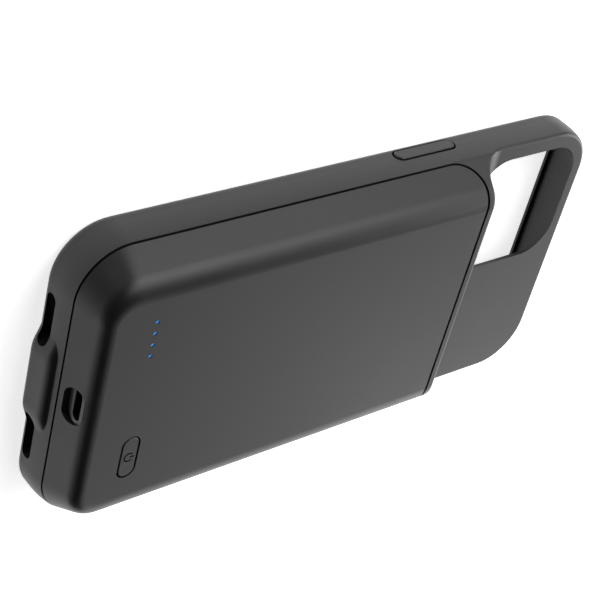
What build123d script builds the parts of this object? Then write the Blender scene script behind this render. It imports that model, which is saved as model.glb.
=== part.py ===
from build123d import *
import os
from math import cos, radians, sin, sqrt, tan

os.makedirs("parts", exist_ok=True)

# A battery charging case for a phone, in millimetres, lying face down on its front rim.
# +Z is the case's back, +Y the camera end, -Y the end with the ports, and the origin lies under the
# middle of the whole case.

# The phone that the tray grips, and the room left around it
phone_width = 71.5
phone_length = 146.7
phone_thickness = 7.65
phone_corner = 10.6
phone_room = 0.2
phone_headroom = 0.1

# Walls of the tray
side_wall = 2.8
camera_end_wall = 2.8
port_end_wall = 7.0
back_wall = 1.05
lip_thickness = 0.75
lip_overhang = 1.2
outer_corner = 13.2
front_edge_round = 2.0
crown_height = 5.45
crown_inset = 0.75

# The hump over the battery: its flanks lean in from the seam and round over into the flat back
seam_step = 0.4
hump_height = 9.2
side_lean = 33.0
side_round = 6.56
end_lean = 18.0
end_round = 3.5
edge_sections = 8
core_edge_sections = 3
cover_length = 112.3
cover_wall = 1.6
seam_turn_length = 8.4
seam_turn_height = 6.5
seam_gap = 0.45
seam_end_gap = 0.75
seam_gap_depth = 0.9

# The shoulder of the tray behind the hump, and the tongue that locates the cover
bulkhead_thickness = 2.3
flare_radius = 7.5
shoulder_round = 1.0
tongue_height = 1.2
tongue_thickness = 1.0
tongue_room = 0.15
tongue_notch = 17.0

# Chin over the phone plug, with a sound slot on each side
chin_depth = 1.75
chin_flat = 14.5
chin_ramp = 8.0
chin_height = 8.7
chin_round = 2.3
chin_sink = 0.04
slot_length = 13.6
slot_width = 3.3
slot_offset = 16.6
slot_level = 3.45

# Camera cut-out in the back, measured from the tray's left side and camera end
camera_width = 33.8
camera_length = 34.5
camera_corner = 9.0
camera_side_rim = 4.75
camera_end_rim = 4.0

# Keys in the side walls, placed from the camera end
key_width = 3.3
key_level = 3.75
key_gap = 0.5
key_proud = 0.35
key_edge_bevel = 0.25
key_flange = 0.8
key_flange_rim = 0.8
key_travel = 0.5
key_stop_gap = 0.05
side_key_length = 18.6
side_key_place = 56.2
volume_key_length = 11.0
volume_up_place = 47.8
volume_down_place = 60.8
ring_cut_length = 9.0
ring_cut_width = 5.0
ring_cut_bevel = 0.7
ring_cut_place = 34.3

# Power button and lit dots on the hump, in one row across the case
row_place = 16.5
button_side_place = 22.4
button_length = 11.6
button_width = 4.25
button_gap = 0.4
button_edge_bevel = 0.15
button_flange = 0.8
button_flange_rim = 0.9
button_stop_gap = 0.1
button_post = 3.0
button_travel = 0.3
light_side_place = 20.85
light_pitch = 3.14
light_diameter = 1.0
light_room = 0.05
light_sink = 0.3
light_count = 4
guide_bar_width = 3.0
guide_bar_height = 1.0

# Charge port in the hump's end
port_below_top = 4.75
port_width = 8.94
port_height = 3.2
port_length = 7.3
port_metal = 0.3
port_room = 0.15
port_recess_width = 9.8
port_recess_height = 5.6
port_recess_depth = 1.2
port_plate = 1.2
port_boss_rim = 1.2
tongue_blade_width = 6.7
tongue_blade_height = 0.7
tongue_blade_length = 5.1

# Main board and what stands on it
board_thickness = 1.0
board_depth = 14.6
board_side_room = 11.75
board_room = 0.3
rib_width = 2.0
rib_inset = 5.0
led_length = 1.6
led_width = 0.8
led_height = 0.6
switch_size = 5.2
switch_height = 1.5
plunger_diameter = 2.4
plunger_rise = 0.35
plunger_depth = 0.6
plunger_room = 0.1
chip_size = 5.0
chip_height = 0.9
coil_size = 6.0
coil_height = 3.0
port_side_room = 2.0
board_edge_room = 1.2

# Battery
tape_thickness = 0.3
tape_inset = 3.0
cell_side_room = 9.75
cell_front_room = 24.3
cell_back_room = 10.0
cell_headroom = 1.75
cell_edge_bevel = 1.0
terrace_side_room = 2.0
terrace_depth = 3.4
terrace_thickness = 1.0
cell_board_width = 40.0
cell_board_depth = 3.0
cell_board_thickness = 1.0
lead_diameter = 0.9
lead_sides = 8
lead_spacing = 4.0
lead_loop = 2.4
lead_board_reach = 1.6

# Phone plug, standing in the tray's end wall
pocket_front_wall = 1.9
pocket_floor = 1.6
pocket_room = 0.2
plug_wall = 1.3
plug_board_width = 13.6
plug_board_thickness = 0.8
plug_board_drop = 0.35
plug_base_width = 10.0
plug_base_height = 3.8
plug_base_proud = 0.5
plug_fit = 0.1
blade_width = 6.7
blade_thickness = 1.5
blade_length = 6.6
blade_tip_bevel = 0.5
flex_width = 8.0
flex_thickness = 0.2
flex_bend = 1.2
flex_start = 7.0
flex_turn = 8.2
flex_overlap = 6.0

# Overall sizes and levels that follow from them
cavity_width = phone_width + 2 * phone_room
cavity_length = phone_length + 2 * phone_room
cavity_corner = phone_corner + phone_room
body_width = cavity_width + 2 * side_wall
body_length = cavity_length + camera_end_wall + port_end_wall
half_width = body_width / 2
y_camera_end = (body_length + chin_depth) / 2
y_port_end = y_camera_end - body_length
y_cavity = y_port_end + port_end_wall
y_seam = y_port_end + cover_length
y_bulkhead = y_seam + bulkhead_thickness
y_row = y_port_end + row_place
z_roof = lip_thickness + phone_thickness + phone_headroom
z_panel = z_roof + back_wall
z_seam = z_panel + seam_step
z_crown = z_seam - crown_height
z_top = z_seam + hump_height
z_ceiling = z_top - cover_wall
z_plug = (lip_thickness + z_roof) / 2
z_port = z_top - port_below_top
z_board_top = z_port - port_height / 2
z_board = z_board_top - board_thickness
x_button = half_width - button_side_place
x_lights = light_side_place - half_width
far = 2 * body_length


def block(x_low, x_high, y_low, y_high, z_low, z_high):
    """A plain box between two corners."""
    size = Box(x_high - x_low, y_high - y_low, z_high - z_low)
    return Pos((x_low + x_high) / 2, (y_low + y_high) / 2, (z_low + z_high) / 2) * size


def across(profile):
    """A Y-Z profile carried right across the case."""
    return extrude(Plane.YZ * profile, far, both=True)


def along_y(profile, y_low, y_high):
    """An X-Z profile, centred on its own origin, carried from y_low to y_high."""
    plane = Plane(origin=(0, y_low, 0), x_dir=(1, 0, 0), z_dir=(0, 1, 0))
    return extrude(plane * profile, y_high - y_low)


# Outer form: a crowned tray wall that runs on into the hump's flanks and rounded edges


def body_outline(side, port_end, camera_end):
    """The case's plan, drawn in by so much at its sides and at its two ends."""
    right = half_width - side
    low = y_port_end + port_end
    high = y_camera_end - camera_end
    low_corner = outer_corner - (side + port_end) / 2
    high_corner = outer_corner - camera_end
    return make_face(
        [
            CenterArc((right - low_corner, low + low_corner), low_corner, 270, 90),
            Line((right, low + low_corner), (right, high - high_corner)),
            CenterArc((right - high_corner, high - high_corner), high_corner, 0, 90),
            Line((right - high_corner, high), (high_corner - right, high)),
            CenterArc((high_corner - right, high - high_corner), high_corner, 90, 90),
            Line((-right, high - high_corner), (-right, low + low_corner)),
            CenterArc((low_corner - right, low + low_corner), low_corner, 180, 90),
            Line((low_corner - right, low), (right - low_corner, low)),
        ]
    )


def wall_inset(z):
    """How far the crowned wall lies inside its widest outline at height z."""
    return crown_inset * max((z - z_crown) / crown_height, 0) ** 2


def flank_inset(z, lean, rounding, depth):
    """How far a flank of the hump, sunk by depth, lies inside the widest outline at height z."""
    angle = radians(lean)
    centre_z = z_top - rounding
    centre_inset = crown_inset + (centre_z - z_seam) * tan(angle) + rounding / cos(angle)
    radius = rounding - depth
    if z < centre_z + radius * sin(angle):
        return crown_inset + (z - z_seam) * tan(angle) + depth / cos(angle)
    return centre_inset - sqrt(max(radius**2 - (z - centre_z) ** 2, 0))


def hump_section(z, depth):
    """The hump's plan at height z, sunk by depth."""
    side = flank_inset(z, side_lean, side_round, depth)
    end = flank_inset(z, end_lean, end_round, depth)
    return Pos(0, 0, z) * body_outline(side, end, crown_inset + depth)


def edge_levels(depth, steps):
    """Heights of the sections round the hump's top edge, in even turns of the side's arc."""
    start = radians(side_lean)
    turn = (radians(90) - start) / steps
    radius = side_round - depth
    return [z_top - side_round + radius * sin(start + turn * count) for count in range(steps + 1)]


def chin():
    """Soft bulge on the port end: ramped at both sides, leaning with the wall and rounded off at its top."""
    half_flat = chin_flat / 2
    half_base = half_flat + chin_ramp
    back = y_port_end + port_end_wall / 2
    along = [(1, 0), (1, 0)]
    sections = []
    for z in (0, chin_height):
        base = y_port_end + wall_inset(z) + chin_sink
        tip = base - chin_depth - chin_sink
        outline = make_face(
            [
                Line((half_base, back), (-half_base, back)),
                Line((-half_base, back), (-half_base, base)),
                Spline((-half_base, base), (-half_flat, tip), tangents=along),
                Line((-half_flat, tip), (half_flat, tip)),
                Spline((half_flat, tip), (half_base, base), tangents=along),
                Line((half_base, base), (half_base, back)),
            ]
        )
        sections.append(Pos(0, 0, z) * outline)
    bulge = loft(sections, ruled=True)
    top_edges = bulge.faces().sort_by(Axis.Z)[-1].edges()
    return fillet([edge for edge in top_edges if edge.center().Y < base], chin_round)


def outer_body():
    """The whole outside, as if the hump ran on to the camera end."""
    wall = extrude(body_outline(0, 0, 0), z_crown)
    wall += chin()
    wall = fillet(wall.faces().sort_by(Axis.Z)[0].edges(), front_edge_round)
    crown_sections = 6
    sections = []
    for count in range(crown_sections + 1):
        z = z_crown + crown_height * count / crown_sections
        inset = wall_inset(z)
        sections.append(Pos(0, 0, z) * body_outline(inset, inset, inset))
    flank_sections = 8
    edge = edge_levels(0, edge_sections)
    step = (edge[0] - z_seam) / (flank_sections + 1)
    flank = [z_seam + step * (count + 1) for count in range(flank_sections)]
    sections += [hump_section(z, 0) for z in flank + edge]
    return wall + loft(sections)


def hump():
    """The hump over the seam: plain leaning flanks, then the round into the flat back."""
    edge = edge_levels(0, edge_sections)
    flank = loft([hump_section(z_seam, 0), hump_section(edge[0], 0)], ruled=True)
    return flank + loft([hump_section(z, 0) for z in edge])


def hump_core(depth):
    """The hump sunk by depth, from below the tray's back wall up: what a cover of that wall encloses."""
    levels = [z_roof] + edge_levels(depth, core_edge_sections)
    return loft([hump_section(z, depth) for z in levels], ruled=True)


def above_seam(rise, back):
    """The cover's side of the seam, held up from it by rise and back from the shoulder by back."""
    level = z_seam + rise
    end = y_seam - back
    turn_length = seam_turn_length - back
    turn_height = seam_turn_height - rise
    turn_middle = (end - turn_length, level + turn_height)
    return across(
        make_face(
            [
                Line((-far, level), (end - turn_length, level)),
                EllipticalCenterArc(turn_middle, turn_length, turn_height, 270, arc_size=90),
                Line((end, level + turn_height), (end, far)),
                Line((end, far), (-far, far)),
                Line((-far, far), (-far, level)),
            ]
        )
    )


def above_panel():
    """The space over the flat back at the camera end, with a concave flare at the bulkhead's foot."""
    foot = y_bulkhead + flare_radius
    return across(
        make_face(
            [
                Line((y_bulkhead, far), (y_bulkhead, z_panel + flare_radius)),
                CenterArc((foot, z_panel + flare_radius), flare_radius, 180, 90),
                Line((foot, z_panel), (far, z_panel)),
                Line((far, z_panel), (far, far)),
                Line((far, far), (y_bulkhead, far)),
            ]
        )
    )


# Keys: a pill head through the wall, with a flange that stops against the wall's inside


def key_plane(side, place):
    """On the outside of a side wall, with local Z pointing out. Side is -1 for left, 1 for right."""
    return Plane(
        origin=(side * half_width, y_camera_end - place, key_level),
        x_dir=(0, 1, 0),
        z_dir=(side, 0, 0),
    )


key_web = side_wall - key_flange - key_travel


def key(length, side, place):
    """One key, at rest with its flange just inside the web of the wall."""
    head_base = -key_web - key_stop_gap
    head = Pos(0, 0, head_base) * extrude(SlotOverall(length, key_width), key_proud - head_base)
    head = chamfer(head.faces().sort_by(Axis.Z)[-1].edges(), key_edge_bevel)
    rim = 2 * key_flange_rim
    flange = extrude(Rectangle(length + rim, key_width + rim), key_flange - key_stop_gap)
    flange = Pos(0, 0, -key_web - key_flange) * flange
    return key_plane(side, place) * (head + flange)


def key_opening(length, side, place):
    """The hole for a key's head, with the wider pocket for its flange on the phone's side."""
    room = 2 * key_gap
    rim = 2 * key_flange_rim + room
    hole = Pos(0, 0, -side_wall) * extrude(SlotOverall(length + room, key_width + room), 2 * side_wall)
    pocket = extrude(Rectangle(length + rim, key_width + rim), -side_wall)
    return key_plane(side, place) * (hole + Pos(0, 0, -key_web) * pocket)


def ring_opening():
    """Pill-shaped cut-out for the phone's ring switch, bevelled on the outside."""
    hole = extrude(SlotOverall(ring_cut_length, ring_cut_width), side_wall, both=True)
    wide = 2 * ring_cut_bevel
    bevel = loft(
        [
            Pos(0, 0, -ring_cut_bevel) * SlotOverall(ring_cut_length, ring_cut_width),
            Pos(0, 0, ring_cut_bevel) * SlotOverall(ring_cut_length + 2 * wide, ring_cut_width + 2 * wide),
        ]
    )
    return key_plane(1, ring_cut_place) * (hole + bevel)


side_keys = {
    "side_key": (side_key_length, -1, side_key_place),
    "volume_up_key": (volume_key_length, 1, volume_up_place),
    "volume_down_key": (volume_key_length, 1, volume_down_place),
}

# Places on the main board, which stands on two ribs behind the charge port

y_port_face = y_port_end + flank_inset(z_port, end_lean, end_round, 0)
y_port_mouth = y_port_face + port_recess_depth
y_plate_back = y_port_mouth + port_plate
y_board = y_plate_back + board_room
y_board_back = y_board + board_depth
board_half = half_width - board_side_room
rib_middle = board_half - rib_inset
light_places = [x_lights + light_pitch * (count - (light_count - 1) / 2) for count in range(light_count)]


def phone_frame():
    """The tray: one moulding with the front lip, the chin, the shoulder and the cover's tongue."""
    uncut = outer_body() - above_seam(0, 0)
    recess = above_panel()
    frame = uncut - recess
    frame = fillet(new_edges(uncut, recess, combined=frame), shoulder_round)

    cavity_middle = y_cavity + cavity_length / 2
    cavity = extrude(RectangleRounded(cavity_width, cavity_length, cavity_corner), z_roof - lip_thickness)
    frame -= Pos(0, cavity_middle, lip_thickness) * cavity
    mouth_cut = RectangleRounded(
        cavity_width - 2 * lip_overhang,
        cavity_length - 2 * lip_overhang,
        cavity_corner - lip_overhang,
    )
    frame -= Pos(0, cavity_middle, 0) * extrude(mouth_cut, lip_thickness, both=True)

    camera_x = -half_width + camera_side_rim + camera_width / 2
    camera_y = y_camera_end - camera_end_rim - camera_length / 2
    camera_cut = extrude(RectangleRounded(camera_width, camera_length, camera_corner), z_top)
    frame -= Pos(camera_x, camera_y, z_roof - back_wall) * camera_cut

    for sign in (-1, 1):
        slot = along_y(SlotOverall(slot_length, slot_width), y_port_end - port_end_wall, y_cavity + phone_room)
        frame -= Pos(sign * slot_offset, 0, slot_level) * slot
    for length, side, place in side_keys.values():
        frame -= key_opening(length, side, place)
    frame -= ring_opening()

    # Battery bay, and the tongue that stands up inside the cover's wall
    tongue_depth = cover_wall + tongue_room
    bay_core = hump_core(tongue_depth + tongue_thickness)
    tongue_band = above_seam(0, 0) - above_seam(tongue_height, tongue_height)
    tongue = (hump_core(tongue_depth) - bay_core) & tongue_band
    tongue -= block(-tongue_notch / 2, tongue_notch / 2, -far, y_port_end + board_depth, z_seam, z_top)
    frame += tongue
    frame -= bay_core & block(-half_width, half_width, -far, y_seam, z_panel, z_top)
    rib_low = rib_middle - rib_width / 2
    rib_high = rib_middle + rib_width / 2
    rib = block(rib_low, rib_high, y_board, y_board_back, z_panel, z_board)
    frame += rib
    frame += mirror(rib, Plane.YZ)

    # Pocket for the plug's board, open to the battery bay, and the plug's hole into the phone's space
    pocket_half = plug_board_width / 2 + pocket_room
    y_pocket = y_port_end + pocket_front_wall
    frame -= block(-pocket_half, pocket_half, y_pocket, y_cavity - plug_wall, pocket_floor, z_seam)
    plug_hole = SlotOverall(plug_base_width + 2 * plug_fit, plug_base_height + 2 * plug_fit)
    frame -= Pos(0, 0, z_plug) * along_y(plug_hole, y_pocket, y_cavity + plug_fit)
    return frame


def battery_cover():
    """The hump's shell, with a shadow gap along its outer edge where it meets the tray."""
    cover = hump() & above_seam(0, 0)
    cover -= hump_core(cover_wall)
    cover -= (above_seam(0, 0) - above_seam(seam_gap, seam_end_gap)) - hump_core(seam_gap_depth)

    # The charge port's recess is floored by a plate inside the end wall
    rim = 2 * port_boss_rim
    boss = SlotOverall(port_recess_width + rim, port_recess_height + rim)
    boss = Pos(0, 0, z_port) * along_y(boss, y_port_face, y_plate_back)
    cover += boss & hump_core(seam_gap_depth) & above_seam(tongue_height / 2, tongue_height)
    recess = SlotOverall(port_recess_width, port_recess_height)
    cover -= Pos(0, 0, z_port) * along_y(recess, y_port_end - port_end_wall, y_port_mouth)
    hole = SlotOverall(port_width + 2 * port_room, port_height + 2 * port_room)
    cover -= Pos(0, 0, z_port) * along_y(hole, y_port_end, y_plate_back + port_room)

    opening = extrude(SlotOverall(button_length + 2 * button_gap, button_width + 2 * button_gap), 2 * cover_wall)
    cover -= Pos(x_button, y_row, z_ceiling - cover_wall / 2) * opening
    for x in light_places:
        light_hole = extrude(Circle(light_diameter / 2 + light_room), 2 * cover_wall)
        cover -= Pos(x, y_row, z_ceiling - cover_wall / 2) * light_hole
    return cover


z_switch_top = z_board_top + switch_height
z_plunger_top = z_switch_top + plunger_rise


def power_button():
    """Pill flush with the hump, hung by its flange under the cover, with a post on the switch."""
    z_flange = z_ceiling - button_stop_gap
    head = extrude(SlotOverall(button_length, button_width), z_top - z_flange)
    head = chamfer(head.faces().sort_by(Axis.Z)[-1].edges(), button_edge_bevel)
    rim = 2 * button_flange_rim
    flange = extrude(Rectangle(button_length + rim, button_width + rim), -button_flange)
    post = extrude(Rectangle(button_post, button_post), z_plunger_top - z_flange)
    return Pos(x_button, y_row, z_flange) * (head + flange + post)


def light_guide():
    """Clear bar under the cover, with a pin in each light hole that ends just under the hump's face."""
    bar_length = light_pitch * (light_count - 1) + guide_bar_width
    bar = extrude(Rectangle(bar_length, guide_bar_width), -guide_bar_height)
    guide = Pos(x_lights, y_row, z_ceiling) * bar
    for x in light_places:
        guide += Pos(x, y_row, z_ceiling) * extrude(Circle(light_diameter / 2), cover_wall - light_sink)
    return guide


def charge_port_shell():
    """Drawn metal mouth, closed at the back, lying on the board."""
    shell = along_y(SlotOverall(port_width, port_height), 0, port_length)
    bore = SlotOverall(port_width - 2 * port_metal, port_height - 2 * port_metal)
    shell -= along_y(bore, -port_metal, port_length - port_metal)
    return Pos(0, y_port_mouth, z_port) * shell


def charge_port_tongue():
    """Insulator blade with the contacts, standing from the shell's back."""
    back = y_port_mouth + port_length - port_metal
    blade = Rectangle(tongue_blade_width, tongue_blade_height)
    return Pos(0, 0, z_port) * along_y(blade, back - tongue_blade_length, back)


def main_board():
    """Circuit board on the tray's ribs."""
    return block(-board_half, board_half, y_board, y_board_back, z_board, z_board_top)


def on_board(x, y, length, width, height):
    """A plain component standing on the board."""
    return Pos(x, y, z_board_top) * extrude(Rectangle(length, width), height)


def switch_body():
    """Tact switch under the button, with a bore for its plunger."""
    bore_depth = plunger_depth + button_travel + plunger_room
    body = on_board(x_button, y_row, switch_size, switch_size, switch_height)
    bore = extrude(Circle(plunger_diameter / 2 + plunger_room), -bore_depth)
    return body - Pos(x_button, y_row, z_switch_top) * bore


def switch_plunger():
    """The switch's pin, which goes down with the button."""
    pin = extrude(Circle(plunger_diameter / 2), plunger_depth + plunger_rise)
    return Pos(x_button, y_row, z_switch_top - plunger_depth) * pin


def charge_chip():
    """Charging controller on the board, to the left of the charge port."""
    x = -port_width / 2 - port_side_room - chip_size / 2
    return on_board(x, y_board + board_edge_room + chip_size / 2, chip_size, chip_size, chip_height)


def boost_coil():
    """Moulded power inductor on the board, to the right of the charge port."""
    x = port_width / 2 + port_side_room + coil_size / 2
    return on_board(x, y_board + board_edge_room + coil_size / 2, coil_size, coil_size, coil_height)


cell_half = half_width - cell_side_room
y_cell = y_port_end + cell_front_room
y_cell_back = y_seam - cell_back_room
y_cell_middle = (y_cell + y_cell_back) / 2
z_cell = z_panel + tape_thickness
z_terrace = z_cell + terrace_thickness
cell_thickness = z_ceiling - cell_headroom - z_cell


def battery_tape():
    """Adhesive pad that holds the cell to the tray."""
    width = 2 * (cell_half - tape_inset)
    length = y_cell_back - y_cell - 2 * tape_inset
    return Pos(0, y_cell_middle, z_panel) * extrude(Rectangle(width, length), tape_thickness)


def battery_cell():
    """Flat pouch with bevelled edges, and the sealed terrace at its front end that carries the cell board."""
    pouch = block(-cell_half, cell_half, y_cell, y_cell_back, z_cell, z_cell + cell_thickness)
    pouch = chamfer(pouch.faces().sort_by(Axis.Z)[-1].edges(), cell_edge_bevel)
    terrace_half = cell_half - terrace_side_room
    return pouch + block(-terrace_half, terrace_half, y_cell - terrace_depth, y_cell, z_cell, z_terrace)


def cell_board():
    """Protection board on the pouch's terrace."""
    half = cell_board_width / 2
    return block(-half, half, y_cell - cell_board_depth, y_cell, z_terrace, z_terrace + cell_board_thickness)


def battery_lead(x):
    """Wire from the cell board up and over to the main board."""
    y_from = y_cell - cell_board_depth / 2
    y_to = y_board_back - lead_board_reach
    z_from = z_terrace + cell_board_thickness
    z_over = max(z_from, z_board_top) + lead_loop
    path = Polyline((x, y_from, z_from), (x, y_from, z_over), (x, y_to, z_over), (x, y_to, z_board_top))
    section = Plane(origin=path @ 0, z_dir=path % 0) * RegularPolygon(lead_diameter / 2, lead_sides)
    return sweep(section, path, transition=Transition.RIGHT)


y_plug_board = y_port_end + pocket_front_wall
y_plug_base = y_plug_board + plug_board_thickness
y_blade = y_cavity + plug_base_proud


def plug_board():
    """Small upright board that stands on the pocket's floor against its front wall."""
    half = plug_board_width / 2
    return block(-half, half, y_plug_board, y_plug_base, pocket_floor, z_panel - plug_board_drop)


def plug_base():
    """Moulded foot of the plug, through the wall into the phone's space."""
    return Pos(0, 0, z_plug) * along_y(SlotOverall(plug_base_width, plug_base_height), y_plug_base, y_blade)


def plug_blade():
    """The blade that enters the phone, bevelled at its tip."""
    blade = along_y(SlotOverall(blade_width, blade_thickness), y_blade, y_blade + blade_length)
    blade = chamfer(blade.faces().sort_by(Axis.Y)[-1].edges(), blade_tip_bevel)
    return Pos(0, 0, z_plug) * blade


def flex_cable():
    """Flat cable from the plug's board up through the pocket and along the main board's underside."""
    y_start = y_plug_base + flex_thickness / 2
    z_under = z_board - flex_thickness / 2
    y_bend = y_start + z_under - flex_turn
    path = FilletPolyline(
        (y_start, flex_start), (y_start, flex_turn), (y_bend, z_under), (y_bend + flex_overlap, z_under),
        radius=flex_bend,
    )
    strip = Plane.YZ * trace(path, flex_thickness)
    return extrude(strip, flex_width / 2, both=True)


solids = {
    "phone_frame": phone_frame(),
    "battery_cover": battery_cover(),
    "power_button": power_button(),
    "light_guide": light_guide(),
    "charge_port_shell": charge_port_shell(),
    "charge_port_tongue": charge_port_tongue(),
    "main_board": main_board(),
    "switch_body": switch_body(),
    "switch_plunger": switch_plunger(),
    "charge_chip": charge_chip(),
    "boost_coil": boost_coil(),
    "battery_tape": battery_tape(),
    "battery_cell": battery_cell(),
    "cell_board": cell_board(),
    "positive_lead": battery_lead(-lead_spacing / 2),
    "negative_lead": battery_lead(lead_spacing / 2),
    "plug_board": plug_board(),
    "plug_base": plug_base(),
    "plug_blade": plug_blade(),
    "flex_cable": flex_cable(),
}
for name, (length, side, place) in side_keys.items():
    solids[name] = key(length, side, place)
for number, x in enumerate(light_places, start=1):
    solids[f"led_{number}"] = on_board(x, y_row, led_length, led_width, led_height)

for name, solid in solids.items():
    export_step(solid, f"parts/{name}.step")
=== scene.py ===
from math import cos, radians, sin

import bmesh
import bpy
from mathutils import Matrix, Vector


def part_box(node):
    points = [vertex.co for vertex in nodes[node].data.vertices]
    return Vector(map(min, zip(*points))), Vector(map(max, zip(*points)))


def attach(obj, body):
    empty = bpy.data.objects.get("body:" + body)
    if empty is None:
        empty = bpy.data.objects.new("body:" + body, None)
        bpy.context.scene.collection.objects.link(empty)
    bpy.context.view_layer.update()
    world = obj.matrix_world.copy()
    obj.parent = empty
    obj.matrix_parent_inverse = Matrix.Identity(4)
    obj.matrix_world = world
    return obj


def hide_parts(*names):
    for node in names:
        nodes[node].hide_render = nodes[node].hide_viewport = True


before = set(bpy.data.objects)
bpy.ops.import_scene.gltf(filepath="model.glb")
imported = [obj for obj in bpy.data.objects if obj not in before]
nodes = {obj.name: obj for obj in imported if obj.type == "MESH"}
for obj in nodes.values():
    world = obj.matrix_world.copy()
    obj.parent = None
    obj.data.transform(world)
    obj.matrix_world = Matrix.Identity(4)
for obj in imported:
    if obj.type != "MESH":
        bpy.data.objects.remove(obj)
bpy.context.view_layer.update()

# The tray: a thin moulded case that grips the phone by a lip all round, with the shoulder that the
# battery hump leans on. It is one shot of dark grey polycarbonate with a soft-touch coat, which is
# matt, almost black, and covered in a grain too fine to see from a step away.

SOFT_TOUCH_TONES = ((0.0065, 0.0065, 0.0068, 1.0), (0.0085, 0.0085, 0.0088, 1.0))
SOFT_TOUCH_ROUGHNESS = (0.36, 0.44)
SOFT_TOUCH_CLOUDS = 90.0
SOFT_TOUCH_GRAIN = 5200.0
SOFT_TOUCH_GRAIN_HEIGHT = 0.00002
GRAIN_STRENGTH = 0.35
GRAIN_DETAIL = 2.0
CLOUD_DETAIL = 3.0
TONE_STOPS = (0.3, 0.7)
EVEN = (1.0, 1.0, 1.0)


def clouds_in(tree, scale, detail, stretch):
    """Noise fixed to the piece, as so many clouds to the metre, drawn out along its axes by stretch."""
    place = tree.nodes.new("ShaderNodeTexCoord")
    drawn_out = tree.nodes.new("ShaderNodeMapping")
    drawn_out.inputs["Scale"].default_value = stretch
    tree.links.new(place.outputs["Object"], drawn_out.inputs["Vector"])
    noise = tree.nodes.new("ShaderNodeTexNoise")
    noise.inputs["Scale"].default_value = scale
    noise.inputs["Detail"].default_value = detail
    tree.links.new(drawn_out.outputs["Vector"], noise.inputs["Vector"])
    return noise.outputs["Fac"]


def tones_from(tree, clouds, tones):
    """Colour that goes from the first tone to the second with the clouds."""
    ramp = tree.nodes.new("ShaderNodeValToRGB")
    for stop, position, tone in zip(ramp.color_ramp.elements, TONE_STOPS, tones):
        stop.position = position
        stop.color = tone
    tree.links.new(clouds, ramp.inputs["Fac"])
    return ramp.outputs["Color"]


def finish(name, tones, *, roughness, clouds, grain, grain_height, metal=0.0, stretch=EVEN, shine=0.5):
    """A surface in two close tones, with gloss that drifts along with them, over a fine grain."""
    material = bpy.data.materials.new(name)
    material.use_nodes = True
    tree = material.node_tree
    shader = tree.nodes["Principled BSDF"]
    shader.inputs["Metallic"].default_value = metal
    shader.inputs["Specular IOR Level"].default_value = shine
    drift = clouds_in(tree, clouds, CLOUD_DETAIL, stretch)
    tree.links.new(tones_from(tree, drift, tones), shader.inputs["Base Color"])
    gloss = tree.nodes.new("ShaderNodeMapRange")
    gloss.inputs["To Min"].default_value = roughness[0]
    gloss.inputs["To Max"].default_value = roughness[1]
    tree.links.new(drift, gloss.inputs["Value"])
    tree.links.new(gloss.outputs["Result"], shader.inputs["Roughness"])
    bump = tree.nodes.new("ShaderNodeBump")
    bump.inputs["Strength"].default_value = GRAIN_STRENGTH
    bump.inputs["Distance"].default_value = grain_height
    tree.links.new(clouds_in(tree, grain, GRAIN_DETAIL, stretch), bump.inputs["Height"])
    tree.links.new(bump.outputs["Normal"], shader.inputs["Normal"])
    return material


def soft_touch(name):
    """The coat that the tray, the cover and all the keys share."""
    return finish(name, SOFT_TOUCH_TONES, roughness=SOFT_TOUCH_ROUGHNESS, clouds=SOFT_TOUCH_CLOUDS,
                  grain=SOFT_TOUCH_GRAIN, grain_height=SOFT_TOUCH_GRAIN_HEIGHT)


def dress(node, material):
    """Gives a solid its finished surface."""
    nodes[node].data.materials.clear()
    nodes[node].data.materials.append(material)


dress("phone_frame", soft_touch("tray_coat"))

# The keys in the tray's side walls: moulded pills of the same coated plastic, one on the left and two on
# the right. Each is dropped in from the phone's side, and a flange keeps it from falling out.

key_coat = soft_touch("key_coat")
for key in ("side_key", "volume_up_key", "volume_down_key"):
    dress(key, key_coat)

# The phone plug: a plated steel blade in a moulded foot, soldered to a small board that stands in the
# tray's chin. Both faces of the blade have a window of black plastic with a row of gold contacts in it.

BLADE_STEEL = ((0.50, 0.50, 0.51, 1.0), (0.62, 0.62, 0.63, 1.0))
FOOT_PLASTIC = ((0.010, 0.010, 0.011, 1.0), (0.016, 0.016, 0.017, 1.0))
CONTACT_GOLD = ((0.60, 0.36, 0.10, 1.0), (0.74, 0.48, 0.16, 1.0))
SOLDER_MASK = ((0.004, 0.040, 0.012, 1.0), (0.008, 0.070, 0.022, 1.0))
PLUG_WINDOW = (0.0051, 0.0022)
PLUG_WINDOW_FROM_TIP = 0.0009
PLUG_CONTACT = (0.0004, 0.0018)
PLUG_CONTACT_PITCH = 0.00062
PLUG_CONTACTS = 8
PLUG_WINDOW_PROUD = 0.00002
PLUG_CONTACT_PROUD = 0.00004

blade_steel = finish("blade_steel", BLADE_STEEL, roughness=(0.22, 0.34), clouds=700.0,
                     grain=3000.0, grain_height=0.000004, metal=1.0, stretch=(1.0, 0.1, 1.0))
black_plastic = finish("black_plastic", FOOT_PLASTIC, roughness=(0.45, 0.55), clouds=300.0,
                       grain=4000.0, grain_height=0.00001)
contact_gold = finish("contact_gold", CONTACT_GOLD, roughness=(0.20, 0.30), clouds=900.0,
                      grain=5000.0, grain_height=0.000003, metal=1.0)
board_green = finish("board_green", SOLDER_MASK, roughness=(0.25, 0.40), clouds=260.0,
                     grain=1500.0, grain_height=0.00002)
dress("plug_board", board_green)
dress("plug_base", black_plastic)
dress("plug_blade", blade_steel)


def add_node(tree, kind, inputs):
    """A node in a tree, with each named input set to a value or fed from an output."""
    node = tree.nodes.new(kind)
    for name, source in inputs.items():
        if isinstance(source, bpy.types.NodeSocket):
            tree.links.new(source, node.inputs[name])
        else:
            node.inputs[name].default_value = source
    return node


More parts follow.
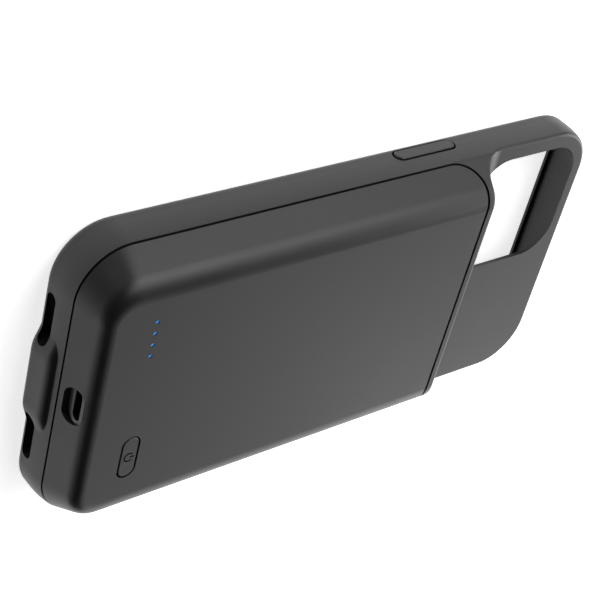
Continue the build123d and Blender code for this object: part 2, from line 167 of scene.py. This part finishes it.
def calculate(tree, operation, first, second):
    """One sum in a tree, as its output."""
    node = add_node(tree, "ShaderNodeMath", {0: first, 1: second})
    node.operation = operation
    return node.outputs["Value"]


def line_of_points(tree, axis, count, spacing):
    """Points along an axis, evenly spaced and centred on the origin."""
    span = calculate(tree, "MULTIPLY", calculate(tree, "SUBTRACT", count, 1.0), spacing)
    start = add_node(tree, "ShaderNodeCombineXYZ", {axis: calculate(tree, "MULTIPLY", span, -0.5)})
    step = add_node(tree, "ShaderNodeCombineXYZ", {axis: spacing})
    line = add_node(tree, "GeometryNodeMeshLine", {
        "Count": count, "Start Location": start.outputs["Vector"], "Offset": step.outputs["Vector"]})
    return line.outputs["Mesh"]


def row_tree():
    """Geometry nodes for copies of a small shape in a row across the case, on one face or on two."""
    tree = bpy.data.node_groups.new("row_across_case", "GeometryNodeTree")
    tree.interface.new_socket("Copies", in_out="OUTPUT", socket_type="NodeSocketGeometry")
    for name, kind in (("Shape", "Object"), ("Count", "Int"), ("Pitch", "Float"), ("Faces", "Int"),
                       ("Face Gap", "Float"), ("Middle", "Vector"), ("Finish", "Material")):
        tree.interface.new_socket(name, in_out="INPUT", socket_type="NodeSocket" + kind)
    given = tree.nodes.new("NodeGroupInput").outputs
    row = line_of_points(tree, "X", given["Count"], given["Pitch"])
    faces = line_of_points(tree, "Z", given["Faces"], given["Face Gap"])
    rows = add_node(tree, "GeometryNodeInstanceOnPoints", {"Points": faces, "Instance": row})
    points = add_node(tree, "GeometryNodeRealizeInstances", {"Geometry": rows.outputs["Instances"]})
    shape = add_node(tree, "GeometryNodeObjectInfo", {"Object": given["Shape"]})
    copies = add_node(tree, "GeometryNodeInstanceOnPoints", {
        "Points": points.outputs["Geometry"], "Instance": shape.outputs["Geometry"]})
    placed = add_node(tree, "GeometryNodeTransform", {
        "Geometry": copies.outputs["Instances"], "Translation": given["Middle"]})
    solid = add_node(tree, "GeometryNodeRealizeInstances", {"Geometry": placed.outputs["Geometry"]})
    coated = add_node(tree, "GeometryNodeSetMaterial", {
        "Geometry": solid.outputs["Geometry"], "Material": given["Finish"]})
    result = tree.nodes.new("NodeGroupOutput")
    tree.links.new(coated.outputs["Geometry"], result.inputs["Copies"])
    return tree


row_across_case = row_tree()


def add_row(name, shape, sizes):
    """Copies of a small shape in a row, as one plain mesh that moves with the case."""
    pattern = bpy.data.objects.new("pattern", shape)
    piece = bpy.data.objects.new(name, bpy.data.meshes.new(name))
    for thing in (pattern, piece):
        bpy.context.scene.collection.objects.link(thing)
    modifier = piece.modifiers.new("row", "NODES")
    modifier.node_group = row_across_case
    for socket, value in {"Shape": pattern, **sizes}.items():
        modifier[row_across_case.interface.items_tree[socket].identifier] = value
    evaluated = piece.evaluated_get(bpy.context.evaluated_depsgraph_get())
    mesh = bpy.data.meshes.new_from_object(evaluated)
    piece.modifiers.remove(modifier)
    piece.data = mesh
    bpy.data.objects.remove(pattern)
    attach(piece, "case")


def plate_mesh(width, depth, proud):
    """A thin flat plate that stands so far proud of a face through its middle."""
    plate = bmesh.new()
    bmesh.ops.create_cube(plate, size=1.0, matrix=Matrix.Diagonal((width, depth, 2 * proud, 1.0)))
    mesh = bpy.data.meshes.new("plate")
    plate.to_mesh(mesh)
    plate.free()
    return mesh


blade_low, blade_high = (Vector(corner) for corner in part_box("plug_blade"))
window_middle = (blade_low + blade_high) / 2
window_middle.y = blade_high.y - PLUG_WINDOW_FROM_TIP - PLUG_WINDOW[1] / 2
both_faces = {"Faces": 2, "Face Gap": blade_high.z - blade_low.z, "Middle": window_middle}
add_row("plug_windows", plate_mesh(*PLUG_WINDOW, PLUG_WINDOW_PROUD),
        {"Count": 1, "Pitch": 0.0, "Finish": black_plastic, **both_faces})
add_row("plug_contacts", plate_mesh(*PLUG_CONTACT, PLUG_CONTACT_PROUD),
        {"Count": PLUG_CONTACTS, "Pitch": PLUG_CONTACT_PITCH, "Finish": contact_gold, **both_faces})

# The flat cable: copper tracks between two films of amber polyimide. It is soldered to the plug's board
# and runs up out of the chin to the underside of the main board.

FLEX_FILM = ((0.22, 0.075, 0.008, 1.0), (0.32, 0.12, 0.014, 1.0))

amber_film = finish("amber_film", FLEX_FILM, roughness=(0.25, 0.35), clouds=900.0,
                    grain=2500.0, grain_height=0.000004, stretch=(1.0, 0.05, 1.0))
dress("flex_cable", amber_film)

# The battery: a lithium polymer pouch of laminated foil, held down by a pad of adhesive foam. A
# protection board is welded to its sealed end, and a red and a black wire in silicone sleeves lead
# to the main board.

FOIL = ((0.46, 0.46, 0.47, 1.0), (0.60, 0.60, 0.61, 1.0))
FOAM = ((0.012, 0.012, 0.012, 1.0), (0.022, 0.022, 0.022, 1.0))
RED_SLEEVE = ((0.28, 0.010, 0.008, 1.0), (0.36, 0.016, 0.012, 1.0))
BLACK_SLEEVE = ((0.008, 0.008, 0.008, 1.0), (0.014, 0.014, 0.014, 1.0))

adhesive_foam = finish("adhesive_foam", FOAM, roughness=(0.80, 0.95), clouds=400.0,
                       grain=1800.0, grain_height=0.00012)
pouch_foil = finish("pouch_foil", FOIL, roughness=(0.28, 0.42), clouds=120.0,
                    grain=420.0, grain_height=0.00006, metal=1.0)
dress("battery_tape", adhesive_foam)
dress("battery_cell", pouch_foil)
dress("cell_board", board_green)
sleeves = (("positive_lead", "red_sleeve", RED_SLEEVE), ("negative_lead", "black_sleeve", BLACK_SLEEVE))
for lead, name, tones in sleeves:
    sleeve = finish(name, tones, roughness=(0.45, 0.55), clouds=500.0, grain=3000.0, grain_height=0.00001)
    dress(lead, sleeve)

# The main board: green glass-epoxy that carries the charger. Soldered to it are the charging chip, the
# converter's coil, four small lamps, the switch under the power button and the charge port.

CHIP_EPOXY = ((0.009, 0.009, 0.009, 1.0), (0.015, 0.015, 0.015, 1.0))
COIL_POWDER = ((0.030, 0.030, 0.031, 1.0), (0.048, 0.048, 0.050, 1.0))
LAMP_LENS = ((0.55, 0.58, 0.60, 1.0), (0.70, 0.72, 0.72, 1.0))
PLUNGER_PLASTIC = ((0.24, 0.24, 0.22, 1.0), (0.32, 0.32, 0.29, 1.0))
LAMPS = 4

chip_epoxy = finish("chip_epoxy", CHIP_EPOXY, roughness=(0.50, 0.65), clouds=800.0,
                    grain=6000.0, grain_height=0.00001)
lamp_lens = finish("lamp_lens", LAMP_LENS, roughness=(0.15, 0.25), clouds=900.0,
                   grain=4000.0, grain_height=0.000004)
pale_plunger = finish("pale_plunger", PLUNGER_PLASTIC, roughness=(0.40, 0.50), clouds=600.0,
                      grain=4000.0, grain_height=0.000008)
pressed_powder = finish("pressed_powder", COIL_POWDER, roughness=(0.55, 0.70), clouds=1200.0,
                        grain=5000.0, grain_height=0.00003)
dress("main_board", board_green)
dress("charge_chip", chip_epoxy)
dress("switch_body", chip_epoxy)
dress("switch_plunger", pale_plunger)
dress("boost_coil", pressed_powder)
for lamp in range(1, LAMPS + 1):
    dress(f"led_{lamp}", lamp_lens)

# The charge port: a drawn steel mouth with black plating, closed at the back, soldered flat on the board.
# A thin blade of grey insulator stands in it, with twelve gold contacts on each face.

PORT_PLATING = ((0.030, 0.030, 0.031, 1.0), (0.050, 0.050, 0.052, 1.0))
PORT_INSULATOR = ((0.14, 0.14, 0.143, 1.0), (0.18, 0.18, 0.184, 1.0))
PORT_CONTACT = (0.00028, 0.0032)
PORT_CONTACT_PITCH = 0.0005
PORT_CONTACTS = 12
PORT_CONTACT_FROM_TIP = 0.0005
PORT_CONTACT_PROUD = 0.00002

black_plating = finish("black_plating", PORT_PLATING, roughness=(0.30, 0.42), clouds=500.0,
                       grain=3500.0, grain_height=0.000005, metal=1.0)
port_insulator = finish("port_insulator", PORT_INSULATOR, roughness=(0.45, 0.55), clouds=300.0,
                        grain=4000.0, grain_height=0.00001)
dress("charge_port_shell", black_plating)
dress("charge_port_tongue", port_insulator)
tongue_low, tongue_high = (Vector(corner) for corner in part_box("charge_port_tongue"))
tongue_middle = (tongue_low + tongue_high) / 2
tongue_middle.y = tongue_low.y + PORT_CONTACT_FROM_TIP + PORT_CONTACT[1] / 2
add_row("port_contacts", plate_mesh(*PORT_CONTACT, PORT_CONTACT_PROUD),
        {"Count": PORT_CONTACTS, "Pitch": PORT_CONTACT_PITCH, "Faces": 2, "Middle": tongue_middle,
         "Face Gap": tongue_high.z - tongue_low.z, "Finish": contact_gold})

# The light guide: a clear acrylic bar under the cover, over the four lamps. Its pins stand in the cover's
# light holes and end in shallow cups just under the face, so each shows as a small blue dot. The cup
# walls glow a darker blue, which is painted shade for the dimly lit wall of each hole.

LIT_BLUE = ((0.028, 0.21, 0.60, 1.0), (0.060, 0.36, 0.82, 1.0))
# Painted shade: the darker blue glow of the cup walls, for the dim wall of each light hole.
CUP_PAINTED_SHADE = ((0.002, 0.014, 0.040, 1.0), (0.004, 0.022, 0.065, 1.0))
LIT_STRENGTH = 0.72
LIT_CLOUDS = 900.0
LIT_DETAIL = 2.0
LIT_ROUGHNESS = 0.3
CUP_DIAMETERS = (0.00106, 0.00096)
CUP_HEIGHT = 0.00028
LIGHT_PITCH = 0.00314
PILL_STEPS = 16
MERGE_DISTANCE = 0.000001
SHARP_ANGLE = 30.0


def lit_acrylic(name, tones):
    """Clear plastic that glows with the lamps behind it."""
    material = bpy.data.materials.new(name)
    material.use_nodes = True
    tree = material.node_tree
    shader = tree.nodes["Principled BSDF"]
    shader.inputs["Roughness"].default_value = LIT_ROUGHNESS
    shader.inputs["Emission Strength"].default_value = LIT_STRENGTH
    colour = tones_from(tree, clouds_in(tree, LIT_CLOUDS, LIT_DETAIL, EVEN), tones)
    tree.links.new(colour, shader.inputs["Base Color"])
    tree.links.new(colour, shader.inputs["Emission Color"])
    return material


def pill(width, height):
    """Points round a pill outline, which is a circle where width and height are the same."""
    radius = height / 2
    reach = width / 2 - radius
    points = []
    for side, first in ((1, -90), (-1, 90)):
        turns = [radians(first + 180 * count / PILL_STEPS) for count in range(PILL_STEPS + 1)]
        points += [(side * reach + radius * cos(turn), radius * sin(turn)) for turn in turns]
    return points


def ring_mesh(name, loops, coats=(0, 0, 0, 0)):
    """A closed ring through four outlines of points in space, with the coat of each band between them."""
    ring = bmesh.new()
    rows = [[ring.verts.new(point) for point in loop] for loop in loops]
    for here, there, coat in zip(rows, rows[1:] + rows[:1], coats):
        for count in range(len(here)):
            after = (count + 1) % len(here)
            face = ring.faces.new((here[count], here[after], there[after], there[count]))
            face.material_index = coat
    bmesh.ops.remove_doubles(ring, verts=ring.verts, dist=MERGE_DISTANCE)
    bmesh.ops.recalc_face_normals(ring, faces=ring.faces)
    mesh = bpy.data.meshes.new(name)
    ring.to_mesh(mesh)
    ring.free()
    mesh.shade_smooth()
    mesh.set_sharp_from_angle(angle=radians(SHARP_ANGLE))
    return mesh


dress("light_guide", lit_acrylic("lit_guide", LIT_BLUE))
guide_low, guide_high = (Vector(corner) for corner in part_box("light_guide"))
cup_middle = (guide_low + guide_high) / 2
cup_middle.z = guide_high.z
cup_outlines = [(CUP_DIAMETERS[0], 0.0), (CUP_DIAMETERS[0], CUP_HEIGHT),
                (CUP_DIAMETERS[1], CUP_HEIGHT), (CUP_DIAMETERS[1], 0.0)]
cup_loops = [[(x, y, level) for x, y in pill(across, across)] for across, level in cup_outlines]
add_row("light_cups", ring_mesh("light_cup", cup_loops),
        {"Count": LAMPS, "Pitch": LIGHT_PITCH, "Faces": 1, "Face Gap": 0.0, "Middle": cup_middle,
         "Finish": lit_acrylic("cup_painted_shade", CUP_PAINTED_SHADE)})

# The cover: the hump's shell over the battery, moulded in the tray's coated plastic. It snaps over the
# tray's tongue, and its lower edge stops short of the tray, which leaves a dark joint all round.

dress("battery_cover", soft_touch("cover_coat"))

# The port's bezel: a thin ring of dark grey plastic, pressed into the recess in the cover's end. It hides
# the edge of the steel mouth, and its inner edge has a bevel that leads the plug in. The ring's grey,
# lighter than the cover's coat, is painted light on the recess floor, and the bevel's paler grey is a
# painted highlight at the mouth's edge.

# Painted light: the ring's grey stands in for light on the recess floor, the bevel's paler grey for a
# highlight.
BEZEL_PAINTED_LIGHT = ((0.030, 0.030, 0.031, 1.0), (0.040, 0.040, 0.041, 1.0))
BEVEL_PAINTED_HIGHLIGHT = ((0.15, 0.15, 0.153, 1.0), (0.18, 0.18, 0.183, 1.0))
BEZEL_SIZE = (0.0097, 0.0055)
BEZEL_THICKNESS = 0.00035
BEZEL_BEVEL = 0.0004
BEZEL_COATS = (0, 0, 1, 0)
PORT_LIP = 0.0003

shell_low, shell_high = (Vector(corner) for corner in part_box("charge_port_shell"))
mouth_middle = (shell_low + shell_high) / 2
mouth_size = [side - 2 * PORT_LIP for side in (shell_high - shell_low).xz]
bevel_size = [side + 2 * BEZEL_BEVEL for side in mouth_size]
bezel_outlines = [(BEZEL_SIZE, 0.0), (BEZEL_SIZE, BEZEL_THICKNESS),
                  (bevel_size, BEZEL_THICKNESS), (mouth_size, 0.0)]
bezel_loops = [[(mouth_middle.x + x, shell_low.y - proud, mouth_middle.z + z) for x, z in pill(*size)]
               for size, proud in bezel_outlines]
bezel = bpy.data.objects.new("port_bezel", ring_mesh("port_bezel", bezel_loops, BEZEL_COATS))
for name, tones in (("bezel_painted_light", BEZEL_PAINTED_LIGHT), ("bevel_painted_highlight", BEVEL_PAINTED_HIGHLIGHT)):
    plastic = finish(name, tones, roughness=(0.40, 0.50), clouds=300.0,
                     grain=4000.0, grain_height=0.00001)
    bezel.data.materials.append(plastic)
bpy.context.scene.collection.objects.link(bezel)
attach(bezel, "case")

# The power button: a moulded pill that hangs under the cover by its flange, with a post on the switch.
# The sign for power, a broken ring with a bar through the break, is engraved in its face, and its grooves
# are painted near-black as painted shade, darker than their own shadow.

SIGN_RADIUS = 0.00115
SIGN_STROKE = 0.00038
SIGN_BREAK = 40.0
SIGN_STEPS = 36
SIGN_BAR = (0.00030, 0.00150)
SIGN_DEPTH = 0.00025
# Painted shade: the near-black that fills the engraved grooves of the sign.
SIGN_PAINTED_SHADE = ((0.0012, 0.0012, 0.0012, 1.0), (0.0020, 0.0020, 0.0020, 1.0))
PAINTED_SHADE_COAT = 1


def merged_copy(node):
    """A solid's mesh as one closed skin, without the shading that came with it."""
    skin = bmesh.new()
    skin.from_mesh(nodes[node].data)
    bmesh.ops.remove_doubles(skin, verts=skin.verts, dist=MERGE_DISTANCE)
    mesh = bpy.data.meshes.new(node + "_engraved")
    skin.to_mesh(mesh)
    skin.free()
    if "custom_normal" in mesh.attributes:
        mesh.attributes.remove(mesh.attributes["custom_normal"])
    return mesh


def add_groove(cutter, path, low, high):
    """Adds a square-cut groove along a flat path to the solid that is taken away."""
    rings = []
    for count, point in enumerate(path):
        ahead = path[min(count + 1, len(path) - 1)]
        behind = path[max(count - 1, 0)]
        side = (ahead - behind).orthogonal().normalized() * SIGN_STROKE / 2
        corners = ((point - side, low), (point + side, low), (point + side, high), (point - side, high))
        rings.append([cutter.verts.new((spot.x, spot.y, z)) for spot, z in corners])
    for ring, following in zip(rings, rings[1:]):
        for corner in range(len(ring)):
            after = (corner + 1) % len(ring)
            cutter.faces.new((ring[corner], ring[after], following[after], following[corner]))
    cutter.faces.new(rings[0])
    cutter.faces.new(rings[-1])


button_coat = soft_touch("button_coat")
sign_painted_shade = finish("sign_painted_shade", SIGN_PAINTED_SHADE, roughness=(0.50, 0.60), clouds=900.0,
                  grain=5000.0, grain_height=0.00001, shine=0.1)
button_low, button_high = (Vector(corner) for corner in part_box("power_button"))
sign_middle = ((button_low + button_high) / 2).xy
ring_turn = (360 - 2 * SIGN_BREAK) / SIGN_STEPS
turns = [radians(90 + SIGN_BREAK + ring_turn * count) for count in range(SIGN_STEPS + 1)]
broken_ring = [sign_middle + SIGN_RADIUS * Vector((cos(turn), sin(turn))) for turn in turns]
bar = [sign_middle + Vector((0.0, reach)) for reach in SIGN_BAR]
cutter = bmesh.new()
for path in (broken_ring, bar):
    add_groove(cutter, path, button_high.z - SIGN_DEPTH, button_high.z + SIGN_DEPTH)
bmesh.ops.recalc_face_normals(cutter, faces=cutter.faces)
for face in cutter.faces:
    face.material_index = PAINTED_SHADE_COAT
sign_mesh = bpy.data.meshes.new("power_sign")
cutter.to_mesh(sign_mesh)
cutter.free()
sign = bpy.data.objects.new("power_sign", sign_mesh)
button = bpy.data.objects.new("engraved_button", merged_copy("power_button"))
for piece in (sign, button):
    piece.data.materials.append(button_coat)
    piece.data.materials.append(sign_painted_shade)
    bpy.context.scene.collection.objects.link(piece)
engraving = button.modifiers.new("engraving", "BOOLEAN")
engraving.operation = "DIFFERENCE"
engraving.solver = "EXACT"
engraving.object = sign
engraved = button.evaluated_get(bpy.context.evaluated_depsgraph_get())
engraved_mesh = bpy.data.meshes.new_from_object(engraved)
button.modifiers.remove(engraving)
button.data = engraved_mesh
button.data.shade_smooth()
button.data.set_sharp_from_angle(angle=radians(SHARP_ANGLE))
bpy.data.objects.remove(sign)
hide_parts("power_button")
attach(button, "power_button")

# The floor: a plain pale sheet that runs out of view on every side. It lies a hair under the tray's rim,
# because two faces in one plane would speckle.

FLOOR_HALF = 12.0
FLOOR_LEVEL = -0.00002
FLOOR_COLOUR = (0.9, 0.9, 0.9, 1.0)
FLOOR_GLOW = 0.85
FLOOR_ROUGHNESS = 0.9

floor_mesh = bpy.data.meshes.new("floor")
corners = [(-FLOOR_HALF, -FLOOR_HALF, FLOOR_LEVEL), (FLOOR_HALF, -FLOOR_HALF, FLOOR_LEVEL),
           (FLOOR_HALF, FLOOR_HALF, FLOOR_LEVEL), (-FLOOR_HALF, FLOOR_HALF, FLOOR_LEVEL)]
floor_mesh.from_pydata(corners, [], [(0, 1, 2, 3)])
floor = bpy.data.objects.new("floor", floor_mesh)
bpy.context.scene.collection.objects.link(floor)
floor_finish = bpy.data.materials.new("pale_floor")
floor_finish.use_nodes = True
floor_shader = floor_finish.node_tree.nodes["Principled BSDF"]
floor_shader.inputs["Base Color"].default_value = FLOOR_COLOUR
floor_shader.inputs["Roughness"].default_value = FLOOR_ROUGHNESS
floor_shader.inputs["Emission Color"].default_value = FLOOR_COLOUR
floor_shader.inputs["Emission Strength"].default_value = FLOOR_GLOW
floor_mesh.materials.append(floor_finish)

# Studio light: a dim room with soft boxes in an arc behind the case, so that the edges that face the
# camera stay dark. Two weak boxes stand low on the camera's side, for the views from behind.

ROOM_BRIGHTNESS = 0.02
ROOM_COLOUR = (1.0, 1.0, 1.0, 1.0)
BOX_DISTANCE = 1.1
BOX_SIZE = 0.7
BOX_AIM = Vector((0.0, 0.0, 0.01))


def soft_box(turn, rise, watts):
    """A square soft box that faces the case, turned from +X and raised by so many degrees."""
    lamp = bpy.data.lights.new("soft_box", "AREA")
    lamp.size = BOX_SIZE
    lamp.energy = watts
    box = bpy.data.objects.new("soft_box", lamp)
    flat = cos(radians(rise))
    towards = Vector((flat * cos(radians(turn)), flat * sin(radians(turn)), sin(radians(rise))))
    box.location = BOX_AIM + towards * BOX_DISTANCE
    box.rotation_euler = (-towards).to_track_quat("-Z", "Y").to_euler()
    bpy.context.scene.collection.objects.link(box)


room = bpy.data.worlds.new("room")
room.use_nodes = True
room_light = room.node_tree.nodes["Background"]
room_light.inputs["Strength"].default_value = ROOM_BRIGHTNESS
room_light.inputs["Color"].default_value = ROOM_COLOUR
bpy.context.scene.world = room
soft_box(turn=30.0, rise=8.0, watts=2.7)
soft_box(turn=30.0, rise=45.0, watts=1.1)
soft_box(turn=60.0, rise=8.0, watts=3.6)
soft_box(turn=90.0, rise=25.0, watts=6.2)
soft_box(turn=150.0, rise=25.0, watts=3.6)
soft_box(turn=150.0, rise=45.0, watts=3.8)
soft_box(turn=205.0, rise=8.0, watts=0.8)
soft_box(turn=305.0, rise=8.0, watts=0.8)

# Camera: the photograph's own place and roll, looking down on the hump from the port end. Its place and
# lens come from fitting the case's outline to the photograph.

CAMERA_PLACE = (-0.23875, -0.24585, 0.23056)
CAMERA_RIGHT = (-0.2178, 0.77386, 0.59474)
CAMERA_UP = (-0.78242, 0.22583, -0.58037)
CAMERA_BACK = (-0.58343, -0.59173, 0.55629)
CAMERA_LENS = 100.93
SENSOR_WIDTH = 36.0
NEAREST_SEEN = 0.01

lens = bpy.data.cameras.new("camera")
lens.sensor_width = SENSOR_WIDTH
lens.lens = CAMERA_LENS
lens.clip_start = NEAREST_SEEN
camera = bpy.data.objects.new("camera", lens)
facing = Matrix((CAMERA_RIGHT, CAMERA_UP, CAMERA_BACK)).transposed().to_4x4()
camera.matrix_world = Matrix.Translation(CAMERA_PLACE) @ facing
bpy.context.scene.collection.objects.link(camera)
bpy.context.scene.camera = camera
bpy.context.scene.view_settings.view_transform = "Standard"
